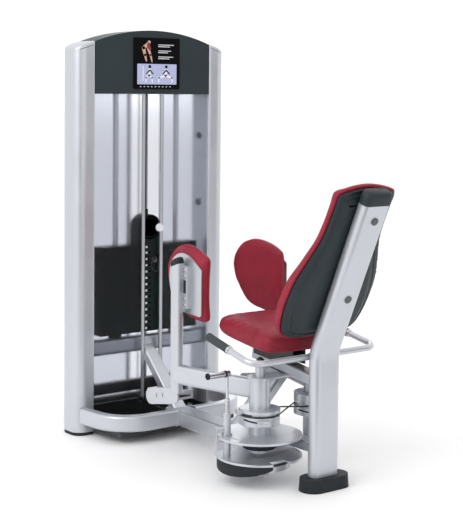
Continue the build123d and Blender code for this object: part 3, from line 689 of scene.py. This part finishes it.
def make_thigh_pad(side, sign):
    """Thigh pad: a flat crowned face inwards, and a sloping rim round the backing plate outwards."""
    board = thigh_board(sign)
    outline = thigh_outline()
    sections = [(45, 41.6), (27, 42), (24, 41.4), (4, 28), (1, 24), (0, 20), (0, 9), (3, 4), (11, 1), (30, 0)]
    body = side + "_arm"
    cushion = stuffed(
        side + "_thigh_cushion", board, outline, sections, side + "_pad", body,
        lambda point: board.depth(point) > 0.0385, 0.005)
    crease(cushion, board, outline, PAD_SEAM, 0.0022, 0.0030)
    subdivide(cushion)
    seam(side + "_pad_piping", cushion, board, outline, PAD_SEAM, body)
    stitches(side + "_pad_stitching", cushion, board, outline, PAD_STITCHING, body, 110)


make_seat()
make_backrest()
for side_name, side_sign in SIDES:
    make_thigh_pad(side_name, side_sign)


# --- Rear upright ---
def rounded_rectangle(half_u, half_v, corner, steps=6):
    """Closed outline of a rounded rectangle about its middle."""
    line = []
    for quarter, (su, sv) in enumerate(((1, 1), (-1, 1), (-1, -1), (1, -1))):
        for step in range(steps + 1):
            turn = math.pi / 2 * (quarter + step / steps)
            line.append(Vector((su * (half_u - corner) + corner * math.cos(turn),
                                sv * (half_v - corner) + corner * math.sin(turn))))
    return line


def make_upright_cap():
    """Moulded cap over the upright's top, rounded towards its edges, with an arched lower edge."""
    half_width, half_depth, corner = 0.0672, 0.0308, 0.0285
    profile = [(0, 0.656), (0, 0.660), (0, 0.684), (0.002, 0.694), (0.006, 0.701), (0.014, 0.706)]
    rings = []
    for step, v in profile:
        section = rounded_rectangle(half_width - step, half_depth - step * 0.8, corner - step * 0.8)
        rings.append([BACK.at(point.x, v + 0.006 * math.cos(point.x * 24) - 0.006, point.y - 0.0008)
                      for point in section])
    cap = Form().skin(rings).build("moulded_upright_cap", "frame", "rubber", 50, finish=SLATE)
    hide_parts("upright_cap")


make_upright_cap()


# --- Arms ---
POST_HALF_X = 0.0170
POST_HALF_Y = 0.0300


def make_post_cap(side, sign):
    """Rubber cap on the post's slanting top."""
    profile = [(0.0006, -0.010), (0, -0.009), (0, 0.004), (0.002, 0.011), (0.006, 0.017), (0.012, 0.020)]
    rings = []
    for step, rise in profile:
        ring = []
        for point in rounded_rectangle(POST_HALF_X, POST_HALF_Y, 0.0105):
            x, y = point.x * (1 - step / POST_HALF_X), point.y * (1 - step / POST_HALF_Y)
            ring.append(spot(sign * POST_X + x, POST_Y + y, 0.826 - 0.35 * y + rise))
        rings.append(ring)
    Form().skin(rings).build(side + "_post_cap", side + "_arm", "rubber", 50)


def make_bracket_details(side, sign):
    """Screws through the pad's bracket, and a dark strip between them that is painted shadow, where the gap
    behind the bracket lies in shade.
    """
    screws = Form()
    board = thigh_board(sign)
    for z in (0.800, 0.775, 0.681, 0.656):
        screws.bolt(board.at(-0.040, z, PAD_REACH - 0.012), board.w, 0.0052)
    screws.build(side + "_bracket_screws", side + "_arm", "bright_steel", 30)
    place = Matrix.Translation(spot(sign * POST_X, POST_Y, 0)) @ Matrix.Rotation(sign * TOE_IN, 4, "Z")
    # This dark rubber strip is painted shadow: it stands where the gap behind the bracket, between the screw
    # pairs, is in shade.
    shadow_gap_strip = Form().slab((-sign * 0.0108, -0.049, 0.703), (-sign * 0.0132, -0.031, 0.757), 0.001, place)
    shadow_gap_strip.build(side + "_bracket_painted_shadow_gap", side + "_arm", "rubber")


def make_footrest_mat(side, sign):
    """Ribbed mat on the sloping footrest."""
    tread = Matrix.Translation(spot(0, 0.7345, 0.252)) @ Matrix.Rotation(math.radians(-11), 4, "X")
    mat = Form().slab((sign * 0.134, -0.041, -0.0162), (sign * 0.246, 0.111, -0.0132), 0.0012, tread)
    for row in range(11):
        y = -0.036 + row * 0.0132
        mat.slab((sign * 0.140, y, -0.0135), (sign * 0.240, y + 0.006, -0.0117), 0.0007, tread)
    mat.build(side + "_footrest_mat", side + "_arm", "rubber")


for side_name, side_sign in SIDES:
    make_post_cap(side_name, side_sign)
    make_bracket_details(side_name, side_sign)
    make_footrest_mat(side_name, side_sign)


# --- Handlebar ---
def make_handle(side, sign):
    """Ribbed grip on the handlebar's front end, with a steel collar behind it."""
    front, bend = spot(sign * 0.303, 0.340, 0.569), spot(sign * 0.320, 0.043, 0.510)
    along = (front - bend).normalized()
    start = front - along * 0.140
    profile = [(0.0130, 0.0), (0.0172, 0.001), (0.0175, 0.006), (0.0160, 0.008)]
    for rib in range(22):
        x = 0.010 + rib * 0.0056
        profile += [(0.0158, x), (0.0164, x + 0.0014), (0.0164, x + 0.0036), (0.0158, x + 0.005)]
    profile += [(0.0166, 0.1345), (0.0172, 0.137), (0.0168, 0.1415), (0.0150, 0.1436), (0.0080, 0.1442)]
    grip = Form().lathe(profile, start, along, 36)
    grip = grip.build(side + "_hand_grip", "frame", "rubber", 50, finish=GRIP)
    collar = [(0.0126, -0.012), (0.0156, -0.0116), (0.0162, -0.0106), (0.0162, -0.0014),
              (0.0156, -0.0004), (0.0126, 0)]
    Form().lathe(collar, start, along, 36).build(side + "_grip_collar", "frame", "bright_steel", 30)
    return grip


grips = [make_handle(side_name, side_sign) for side_name, side_sign in SIDES]
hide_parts("handlebar_grips")


# --- Tower ---
SLOT_FOOT = 0.131
SLOT_TOP = 1.5125
PLATE_FRONT = 1.207
PLATE_PITCH = 0.029
STACK_FOOT = 0.428
PLATES = 14
RESTING_PLATES = 11
ADDON_Z = 0.905
DIAL_X = 0.035


def make_column_cap(side, sign):
    """Moulded cap that carries the arch on over the top of a column, with soft edges."""
    middle = Vector((0.357, 1.2515))
    corners = ((0.3538, 1.2728, 0.0504, 0), (0.320, 1.313, 0.0102, 90),
               (0.320, 1.190, 0.0102, 180), (0.3538, 1.2302, 0.0504, 270))
    profile = ((0, -0.0135), (0, -0.005), (0.012, -0.0015), (0.035, 0.0005),
               (0.1, 0.0015), (0.4, 0.002), (0.9, 0.002))
    outline = []
    for x, y, radius, first in corners:
        for step in range(9):
            turn = math.radians(first + step * 11.25)
            outline.append(Vector((x + radius * math.cos(turn), y + radius * math.sin(turn))))
    rings = []
    for drawn_in, rise in profile:
        ring = []
        for corner in outline:
            point = corner + (middle - corner) * drawn_in
            reach = point.x - 0.310
            ring.append(spot(sign * point.x, point.y, 1.745 - 0.21 * reach - 1.7 * reach ** 2 + rise))
        rings.append(ring)
    return Form().skin(rings).build(side + "_moulded_cap", "frame", "silver_paint", 50)


def make_slot_edges():
    """Channel strips along both sides of the pin slot, on the front and the rear sheets."""
    front, lines, rear = Form(), Form(), Form()
    for _, sign in SIDES:
        for form, near, far in ((front, 1.1890, 1.1918), (rear, 1.3155, 1.3185)):
            form.slab(spot(sign * 0.0410, near, SLOT_FOOT), spot(sign * 0.0570, far, SLOT_TOP), 0.0008)
        for edge in (0.0408, 0.0574):
            lines.slab(spot(sign * (edge - 0.0009), 1.1886, SLOT_FOOT),
                       spot(sign * (edge + 0.0009), 1.1919, SLOT_TOP), 0.0004)
    front.build("front_slot_edges", "frame", "silver_paint")
    lines.build("front_slot_gaskets", "frame", "plug_plastic")
    rear.build("rear_slot_edges", "frame", "silver_paint")


def make_plate_marks():
    """A printed bar on each plate, where the real ones have a number."""
    resting, lifted = Form(), Form()
    for index in range(PLATES):
        z = STACK_FOOT + PLATE_PITCH * (index + 0.5) - (0.003 if index == PLATES - 1 else 0)
        form = resting if index < RESTING_PLATES else lifted
        form.slab(spot(-0.0245, PLATE_FRONT - 0.0008, z - 0.0048),
                  spot(-0.0145, PLATE_FRONT + 0.0002, z + 0.0048), 0.0003)
    resting.build("resting_plate_marks", "frame", "placard_film", finish=WHITE_PRINT)
    lifted.build("lifted_plate_marks", "lifted_stack", "placard_film", finish=WHITE_PRINT)


def make_addon_details():
    """Two raised rings on the add-on weight, and the dial beside them."""
    face = spot(0, 1.2095, ADDON_Z)
    rings = Form()
    for radius, width, height in ((0.0575, 0.003, 0.0035), (0.045, 0.002, 0.002)):
        inner, outer = radius - width, radius + width * 0.6
        profile = [(inner, -0.001), (inner, -height), (radius - width * 0.6, -height - 0.0008),
                   (radius + width * 0.2, -height - 0.0008), (outer, -height), (outer, -0.001)]
        rings.lathe(profile, face, (0, 1, 0), 48)
    rings.build("addon_weight_rings", "lifted_stack", "black_iron", 30)

    knob = [(0.017, 0.0005), (0.0188, 0.0015), (0.0188, 0.0105), (0.0172, 0.0128), (0.0165, 0.0133),
            (0.0150, 0.0133), (0.0145, 0.0122), (0.0120, 0.0120), (0.004, 0.0126)]
    dial = Form().lathe(knob, spot(DIAL_X, 1.1875, ADDON_Z), (0, -1, 0), 40)
    dial.lathe([(0.005, 0.0), (0.005, 0.022)], spot(DIAL_X, 1.187, ADDON_Z), (0, 1, 0), 20)
    dial.slab(spot(DIAL_X - 0.0015, 1.1743, ADDON_Z + 0.0015),
              spot(DIAL_X + 0.0015, 1.1763, ADDON_Z + 0.0135), 0.0006)
    dial = dial.build("addon_dial", "addon_knob", "bright_steel", 30, finish=WHITE_PRINT)
    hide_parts("addon_knob")


def make_pin_details():
    """Waisted grip of the selector pin, and the loop of cord through its end."""
    pin_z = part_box("selector_pin")[0].z + 0.014
    grip = [(0.006, 0.002), (0.012, 0.000), (0.0142, -0.003), (0.0142, -0.0085), (0.0125, -0.0105),
            (0.0125, -0.0165), (0.0142, -0.0185), (0.0142, -0.0245), (0.0125, -0.0275), (0.007, -0.0285)]
    pull = Form().lathe(grip, spot(0, 1.1955, pin_z), (0, 1, 0), 36)
    pull.build("selector_pin_grip", "selector_pin", "pin_plastic", 35)
    ring = [spot(0.010 + 0.020 * math.cos(turn), 1.1785 + 0.004 * math.sin(turn),
                 pin_z - 0.026 + 0.028 * math.sin(turn)) for turn in turns(40)]
    loop = Form().hose(ring, 0.0016, 8, loop=True)
    loop.build("selector_pin_loop", "selector_pin", "pin_plastic", 60)


def flat_shape(form, points, front_y, thickness=0.0008):
    """Thin printed shape on the placard, from (x, z) pairs."""
    front = [spot(x, front_y - thickness, z) for x, z in points]
    back = [spot(x, front_y, z) for x, z in points]
    return form.skin([front, back])


def limb(form, start, end, wide, narrow, front_y):
    """Printed limb: a tapered bar with round ends."""
    start, end = Vector(start), Vector(end)
    along = (end - start).normalized()
    heading = math.atan2(along.y, along.x)
    points = []
    quarter = math.pi / 2
    for centre, radius, first in ((end, narrow, heading - quarter), (start, wide, heading + quarter)):
        for step in range(9):
            turn = first + math.pi * step / 8
            points.append((centre.x + radius * math.cos(turn), centre.y + radius * math.sin(turn)))
    return flat_shape(form, points, front_y)


def round_mark(form, x, z, radius, front_y):
    """Printed disc."""
    points = [(x + radius * math.cos(turn), z + radius * math.sin(turn)) for turn in turns(20)]
    return flat_shape(form, points, front_y)


def make_placard():
    """Generic exercise placard: a seated figure, plain bars in place of words, and two pictograms."""
    face_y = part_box("placard")[0].y - REAR_Y
    panel = Form()
    outline = rounded_rectangle(0.107, 0.046, 0.003)
    flat_shape(panel, [(0.014 + point.x, 1.604 + point.y) for point in outline], face_y, 0.0006)
    panel.build("placard_panel", "frame", "placard_film", finish=BLUE_PRINT)

    white = Form()
    for row, length in enumerate((0.085, 0.070, 0.082)):
        z = 1.735 - row * 0.027
        for line in range(2):
            end, foot = 0.020 + length * (1 - 0.25 * line), z - 0.008 * line
            white.slab(spot(0.020, face_y - 0.0008, foot), spot(end, face_y, foot + 0.003), 0.0002)
    for step in range(9):
        x = -0.078 + step * 0.020
        white.slab(spot(x, face_y - 0.0008, 1.546), spot(x + 0.007, face_y, 1.549), 0.0002)
    top = face_y - 0.0005
    for x, legs in ((-0.030, 0.016), (0.060, 0.034)):
        limb(white, (x, 1.600), (x + 0.004, 1.624), 0.007, 0.006, top)
        for way in (-1, 1):
            limb(white, (x + way * 0.004, 1.597), (x + way * legs, 1.588), 0.0055, 0.004, top)
            limb(white, (x + way * legs, 1.588), (x + way * legs * 1.1, 1.568), 0.004, 0.003, top)
    white.slab(spot(-0.064, top - 0.0008, 1.572), spot(-0.060, top, 1.640), 0.0002)
    white.build("placard_white_marks", "frame", "placard_film", finish=WHITE_PRINT)

    dark = Form()
    for x in (-0.026, 0.064):
        round_mark(dark, x, 1.638, 0.007, top - 0.0004)
        for way in (-1, 1):
            limb(dark, (x, 1.622), (x + way * 0.018, 1.606), 0.003, 0.0022, top - 0.0004)
    dark.build("placard_dark_marks", "frame", "placard_film")

    skin = Form()
    round_mark(skin, -0.030, 1.747, 0.008, face_y)
    for start, end, wide, narrow in (
            ((-0.036, 1.738), (-0.060, 1.722), 0.009, 0.008),
            ((-0.060, 1.720), (-0.052, 1.690), 0.009, 0.006),
            ((-0.052, 1.690), (-0.044, 1.664), 0.006, 0.0035),
            ((-0.034, 1.716), (-0.022, 1.690), 0.007, 0.005),
            ((-0.022, 1.690), (-0.014, 1.660), 0.005, 0.003)):
        limb(skin, start, end, wide, narrow, face_y)
    skin.build("placard_figure", "frame", "placard_film", finish=SKIN_PRINT)
    muscle = Form()
    limb(muscle, (-0.034, 1.734), (-0.026, 1.716), 0.008, 0.006, face_y - 0.0009)
    muscle.build("placard_muscle_mark", "frame", "placard_film", finish=RED_PRINT)


caps = [make_column_cap(side_name, side_sign) for side_name, side_sign in SIDES]
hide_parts("column_caps")
make_slot_edges()
make_plate_marks()
make_addon_details()
make_pin_details()
make_placard()


# --- Mechanism ---
PIVOT_X = 0.140
PIVOT_Y = 0.220
CAM_RADIUS = 0.168
CAM_TOP = 0.1055
CAM_UNDERSIDE = 0.0975
WALL_FIRST, WALL_LAST = 112, 250


def on_drum(x, turn, radius, z):
    return spot(x + radius * math.cos(turn), PIVOT_Y + radius * math.sin(turn), z)


def turned_slab(form, x, turn, radius, size, z, rounding):
    """Block on a drum's rim: size is (outwards, round, up)."""
    half_round = size[1] / 2
    place = Matrix.Translation(spot(x, PIVOT_Y, z)) @ Matrix.Rotation(turn, 4, "Z")
    form.slab((radius, -half_round, 0), (radius + size[0], half_round, size[2]), rounding, place)


def make_pivot_nuts():
    nuts = Form()
    for _, sign in SIDES:
        nuts.bolt(spot(sign * PIVOT_X, PIVOT_Y, 0.4695), (0, 0, 1), 0.0165, socket=False)
    for x, y in ((-0.06, 0.205), (0.06, 0.205), (-0.06, 0.235), (0.06, 0.235)):
        nuts.bolt(spot(x, y, 0.4658), (0, 0, 1), 0.0062)
    nuts.build("pivot_nuts", "frame", "black_paint", 30)


def make_drum_details(side, sign):
    """Cable lugs with their screws and clip on a drum's rim, and the seal round its hub."""
    x, body = sign * PIVOT_X, side + "_arm"
    lugs, screws = Form(), Form()
    outer = math.radians(90 - sign * 75)
    turned_slab(lugs, x, outer, 0.076, (0.024, 0.030, 0.020), 0.270, 0.003)
    screws.bolt(on_drum(x, outer, 0.091, 0.290), (0, 0, 1), 0.006, socket=False)
    near = math.radians(-118)
    turned_slab(lugs, x, near, 0.074, (0.017, 0.050, 0.026), 0.2305, 0.0025)
    turned_slab(lugs, x, near + 0.75, 0.074, (0.013, 0.028, 0.020), 0.234, 0.0025)
    for offset in (-0.13, 0.13):
        direction = (math.cos(near), math.sin(near), 0)
        screws.bolt(on_drum(x, near + offset, 0.0905, 0.2435), direction, 0.0045)
    lugs.build(side + "_cable_lugs", body, "silver_paint")
    strap = [on_drum(x, near - 0.25 - 0.06 * step, 0.0818, 0.246 + 0.0006 * step) for step in range(14)]
    Form().hose(strap, 0.0028, 8).build(side + "_cable_clip", body, "rubber", 60)
    screws.build(side + "_lug_screws", body, "bright_steel", 30)
    seal = Form().lathe([(0.030, 0.4045), (0.0385, 0.4045), (0.0385, 0.4055), (0.030, 0.4055)],
                        spot(x, PIVOT_Y, 0), (0, 0, 1), 40)
    seal.build(side + "_hub_seal", "frame", "rubber", 30)


def cam_strip(form, first, last, section):
    """Strip along the cam's rim between two angles in degrees; the section gives (outwards, z) pairs."""
    rings = []
    steps = 3 * (last - first) // 10
    for step in range(steps + 1):
        angle = first + (last - first) * step / steps
        turn = math.radians(angle)
        rings.append([on_drum(-PIVOT_X, turn, CAM_RADIUS + out, z) for out, z in section(angle)])
    form.skin(rings)


def make_cam_details():
    """Dark side wall under the cam plate, lower towards its tail, and the rims of the two fans."""
    def wall_section(angle):
        along = (min(angle, WALL_LAST - 0.1) - WALL_FIRST) / (WALL_LAST - WALL_FIRST)
        foot = CAM_UNDERSIDE - 0.012 - 0.036 * math.sin(math.pi * along) ** 0.7
        return [(0, CAM_UNDERSIDE), (0, foot), (-0.004, foot), (-0.004, CAM_UNDERSIDE)]

    def rim_section(_):
        return [(0.0022, CAM_TOP), (0.003, CAM_TOP - 0.0015), (0.003, CAM_UNDERSIDE),
                (-0.006, CAM_UNDERSIDE), (-0.006, CAM_TOP)]

    wall, rim = Form(), Form()
    cam_strip(wall, WALL_FIRST, WALL_LAST, wall_section)
    cam_strip(rim, WALL_FIRST, WALL_LAST, rim_section)
    cam_strip(rim, -80, 30, rim_section)
    wall.build("cam_side_wall", "drive_cam", "rubber", 30)
    rim.build("cam_rim", "drive_cam", "silver_paint", 30)
    ring = Form().lathe(
        [(0.024, 0.1315), (0.064, 0.1315), (0.067, 0.134), (0.067, 0.168), (0.064, 0.1705), (0.024, 0.1705)],
        spot(-PIVOT_X, PIVOT_Y, 0), (0, 0, 1), 48)
    ring.build("disc_bearing_ring", "frame", "rubber", 30)


def make_plunger_details():
    """Grooved sleeve and flange screws on the cam, and the dark trim of the plunger's handle."""
    centre = on_drum(-PIVOT_X, math.radians(156), 0.132, 0)
    sleeve = [(0.0125, 0.272), (0.0125, 0.276), (0.0105, 0.278)]
    for ridge in range(8):
        z = 0.280 + ridge * 0.0052
        sleeve += [(0.0085, z), (0.0105, z + 0.0014), (0.0105, z + 0.0028), (0.0085, z + 0.0042)]
    sleeve += [(0.0095, 0.3225), (0.0095, 0.330), (0.0078, 0.332)]
    made = Form().lathe(sleeve, centre, (0, 0, 1), 28)
    made.build("plunger_sleeve", "drive_cam", "bright_steel", 40)
    screws = Form()
    for offset in (45, 135, 225, 315):
        angle = math.radians(offset)
        foot = centre + Vector((0.0178 * math.cos(angle), 0.0178 * math.sin(angle), 0.193))
        screws.bolt(foot, (0, 0, 1), 0.0022)
    screws.build("plunger_flange_screws", "drive_cam", "bright_steel", 30)
    ring = [(0.0121, -0.0035), (0.0140, -0.003), (0.0140, 0.003), (0.0121, 0.0035)]
    end = [(0.0122, 0), (0.0130, 0.001), (0.0130, 0.006), (0.0115, 0.0075), (0.0095, 0.0078), (0.009, 0.004)]
    trim = Form().lathe(ring, centre + Vector((-0.012, 0, 0.430)), (1, 0, 0), 30)
    trim.lathe(end, centre + Vector((-0.0925, 0, 0.430)), (-1, 0, 0), 30)
    trim.build("plunger_handle_trim", "plunger", "rubber", 40)


make_pivot_nuts()
for side_name, side_sign in SIDES:
    make_drum_details(side_name, side_sign)
make_cam_details()
make_plunger_details()


# --- Welds, bolts and base ---
def weld(form, points):
    """Uneven bead along a joint."""
    form.hose(smooth_line(points, 10, loop=True), 0.0028, 8, loop=True, wobble=0.35)


def make_welds():
    beads = Form()
    for _, sign in SIDES:
        weld(beads, [spot(sign * 0.0515, 0.930 + point.x, 0.090 + point.y)
                     for point in rounded_rectangle(0.026, 0.036, 0.012, 3)])
    weld(beads, [spot(point.x, 0.953, 0.116 + point.y)
                 for point in rounded_rectangle(0.033, 0.006, 0.005, 3)])
    beads.build("frame_welds", "frame", "silver_paint", 60)
    for side, sign in SIDES:
        joint = Form()
        weld(joint, [spot(sign * 0.2335, 0.6058, 0.362) + Vector((point.x * 0.98, 0, point.y))
                     for point in rounded_rectangle(0.014, 0.039, 0.012, 3)])
        joint.build(side + "_arm_weld", side + "_arm", "silver_paint", 60)


def make_base_bolts():
    bolts = Form()
    for x in (-0.24, 0.24):
        for y in (1.02, 1.27):
            bolts.bolt(spot(x, y, 0.0362), (0, 0, 1), 0.007)
    bolts.build("base_pan_bolts", "frame", "black_paint", 30)
    steel = Form()
    for _, sign in SIDES:
        for x in (sign * 0.285, sign * 0.205):
            steel.bolt(spot(x, 1.2148, 0.372), (0, -1, 0), 0.006)
    steel.build("cross_tube_bolts", "frame", "bright_steel", 30)


make_welds()
make_base_bolts()


# --- Stage ---
def sheet(name, width, height, finish):
    """Flat sheet about its middle, which belongs to the studio."""
    x, y = width / 2, height / 2
    mesh = bpy.data.meshes.new(name)
    mesh.from_pydata([(-x, -y, 0), (x, -y, 0), (x, y, 0), (-x, y, 0)], [], [(0, 1, 2, 3)])
    mesh.materials.append(finish)
    made = bpy.data.objects.new(name, mesh)
    bpy.context.scene.collection.objects.link(made)
    return made


def aim(thing, at, target):
    """Put a light or a card at a place, facing the target."""
    thing.location = at
    thing.rotation_euler = (Vector(target) - Vector(at)).to_track_quat("-Z", "Y").to_euler()


def make_stage():
    floor = sheet("floor", 120, 120, material("pale_floor", (0.93, 0.93, 0.932), 0.8))
    floor.location.z = cad_box[0].z - 0.0005

    world = bpy.data.worlds.new("studio")
    world.use_nodes = True
    sky = world.node_tree.nodes["Background"]
    sky.inputs["Color"].default_value = (1, 1, 1, 1)
    sky.inputs["Strength"].default_value = 1.08
    bpy.context.scene.world = world
    bpy.context.scene.view_settings.view_transform = "Standard"


def softbox(name, at, target, width, height, power):
    light = bpy.data.lights.new(name, "AREA")
    light.shape = "RECTANGLE"
    light.size, light.size_y = width, height
    light.energy = power
    lamp = bpy.data.objects.new(name, light)
    aim(lamp, at, target)
    lamp.visible_camera = False
    bpy.context.scene.collection.objects.link(lamp)


def dark_card(name, at, target, width, height):
    """Dark screen beside the camera, seen only in reflections."""
    card = sheet(name, width, height, material(name + "_cloth", (0.01, 0.01, 0.01), 0.9))
    aim(card, at, target)
    card.visible_camera = card.visible_diffuse = False
    card.visible_shadow = card.visible_transmission = False


def make_camera():
    data = bpy.data.cameras.new("camera")
    data.lens = 90.675
    data.shift_y = -0.17
    camera = bpy.data.objects.new("camera", data)
    yaw, pitch, roll = 0.6549, 0.0653, 0.0100
    level = Matrix.Rotation(-yaw, 4, "Z") @ Matrix.Rotation(math.pi / 2 - pitch, 4, "X")
    turn = level @ Matrix.Rotation(roll, 4, "Z")
    camera.matrix_world = Matrix.Translation(spot(-3.358, -3.7723, 1.5523)) @ turn
    bpy.context.scene.collection.objects.link(camera)
    bpy.context.scene.camera = camera


make_stage()
softbox("key_light", (-3.6, -0.6, 3.2), (0, 0.1, 0.8), 2.4, 1.8, 60)
softbox("rim_light", (2.4, 3.4, 2.6), (0, 0, 0.9), 2.0, 2.4, 20)
dark_card("screen_behind", (-5.2, -5.8, 1.2), (0, 0, 0.9), 2.6, 5.0)
dark_card("screen_right", (3.6, -4.6, 1.0), (0, 0, 0.9), 2.6, 4.0)
dark_card("screen_low", (-2.1, -3.0, 0.02), (-2.1, -2.99, 2.0), 3.4, 3.0)
make_camera()
